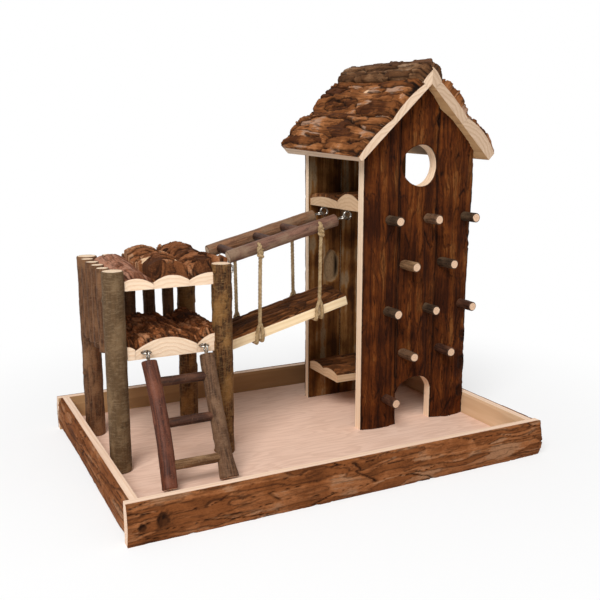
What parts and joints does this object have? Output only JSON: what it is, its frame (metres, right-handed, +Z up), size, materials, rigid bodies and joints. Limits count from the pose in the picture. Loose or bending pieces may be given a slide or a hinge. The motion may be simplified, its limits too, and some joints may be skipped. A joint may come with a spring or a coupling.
{
  "type": "small animal playground",
  "caption": "Bark-clad wooden playground for small pets: tray with a gabled climbing tower, a fenced house on posts, a hooked ladder and a rope-hung bridge.",
  "frame": {"origin": "middle of the tray's underside", "axes": "+Z up, +X along the tray from the house towards the tower, +Y from the front rail to the back rail"},
  "size_m": [0.3674, 0.26, 0.337],
  "materials": {
    "plywood": "sanded plywood, unfinished",
    "rail_bark": "rough warm brown bark with pale sawn edges",
    "tower_bark": "dark reddish brown bark with pale sawn edges",
    "shelf_bark": "brown bark with pale sawn edges and ends",
    "roof_bark": "thick flaking bark with pale sawn edges and ends",
    "peg_wood": "thin bark on the side, pale cut tip",
    "post_bark": "grey-brown branch bark with pale cut ends",
    "ladder_red_bark": "dark reddish branch bark",
    "ladder_grey_bark": "grey-brown branch bark",
    "stick_bark": "smooth reddish brown branch bark",
    "jute": "twisted jute rope",
    "nickel_steel": "bright nickel plating"
  },
  "bodies": {
    "stand": {"floor_board": "plywood", "front_rail": "rail_bark", "back_rail": "rail_bark", "left_rail": "rail_bark", "right_rail": "rail_bark", "front_wall_left_slab": "tower_bark", "front_wall_middle_slab": "tower_bark", "front_wall_right_slab": "tower_bark", "back_wall_left_slab": "tower_bark", "back_wall_middle_slab": "tower_bark", "back_wall_right_slab": "tower_bark", "upper_shelf_front_slab": "shelf_bark", "upper_shelf_back_slab": "shelf_bark", "lower_shelf_front_slab": "shelf_bark", "lower_shelf_back_slab": "shelf_bark", "deck_left_slab": "shelf_bark", "deck_middle_slab": "shelf_bark", "deck_right_slab": "shelf_bark", "roof_left_ridge_slab": "roof_bark", "roof_left_middle_slab": "roof_bark", "roof_left_eave_slab": "roof_bark", "roof_right_ridge_slab": "roof_bark", "roof_right_middle_slab": "roof_bark", "roof_right_eave_slab": "roof_bark", "house_roof_left_slab": "roof_bark", "house_roof_middle_slab": "roof_bark", "house_roof_right_slab": "roof_bark", "climbing_pegs_row_1": "peg_wood", "climbing_pegs_row_2": "peg_wood", "climbing_pegs_row_3": "peg_wood", "climbing_pegs_row_4": "peg_wood", "climbing_pegs_row_5": "peg_wood", "post_front_left": "post_bark", "post_front_right": "post_bark", "post_back_left": "post_bark", "post_back_right": "post_bark", "fence_left_stick_1": "post_bark", "fence_left_stick_2": "post_bark", "fence_left_stick_3": "post_bark", "fence_back_stick_1": "post_bark", "fence_back_stick_2": "post_bark", "fence_back_stick_3": "post_bark", "bridge_front_rail": "stick_bark", "bridge_back_rail": "stick_bark", "bridge_rung_1": "stick_bark", "bridge_rung_2": "stick_bark", "bridge_rung_3": "stick_bark", "deck_eyes": "nickel_steel", "bridge_rail_eyes": "nickel_steel", "bridge_carrier_eyes": "nickel_steel"},
    "ladder": {"ladder_left_rail": "ladder_red_bark", "ladder_right_rail": "ladder_grey_bark", "ladder_rung_1": "stick_bark", "ladder_rung_2": "stick_bark", "ladder_rung_3": "stick_bark", "ladder_eyes": "nickel_steel"},
    "front_ropes": {"bridge_front_ropes": "jute"},
    "back_ropes": {"bridge_back_ropes": "jute"},
    "board": {"bridge_board": "shelf_bark", "bridge_slings": "jute"}
  },
  "joints": [
    {"name": "ladder_swing", "type": "hinge", "parent": "stand", "child": "ladder", "pos_m": [-0.11215, -0.0336, 0.106], "axis": [-1, 0, 0], "range_deg": [0, 90]},
    {"name": "bridge_sway", "type": "hinge", "parent": "stand", "child": "front_ropes", "pos_m": [-0.027, -0.00125, 0.17743], "axis": [0.9678, 0, 0.2519], "range_deg": [-10, 10]},
    {"name": "back_rope_sway", "type": "hinge", "parent": "stand", "child": "back_ropes", "pos_m": [-0.027, 0.05225, 0.17743], "axis": [0.9678, 0, 0.2519], "range_deg": [-10, 10]},
    {"name": "board_level", "type": "hinge", "parent": "front_ropes", "child": "board", "pos_m": [-0.027, -0.00125, 0.10818], "axis": [0.9678, 0, 0.2519], "range_deg": [-10, 10]}
  ],
  "couplings": [
    {"joint": "back_rope_sway", "follows": "bridge_sway", "ratio": 1},
    {"joint": "board_level", "follows": "bridge_sway", "ratio": -1}
  ]
}
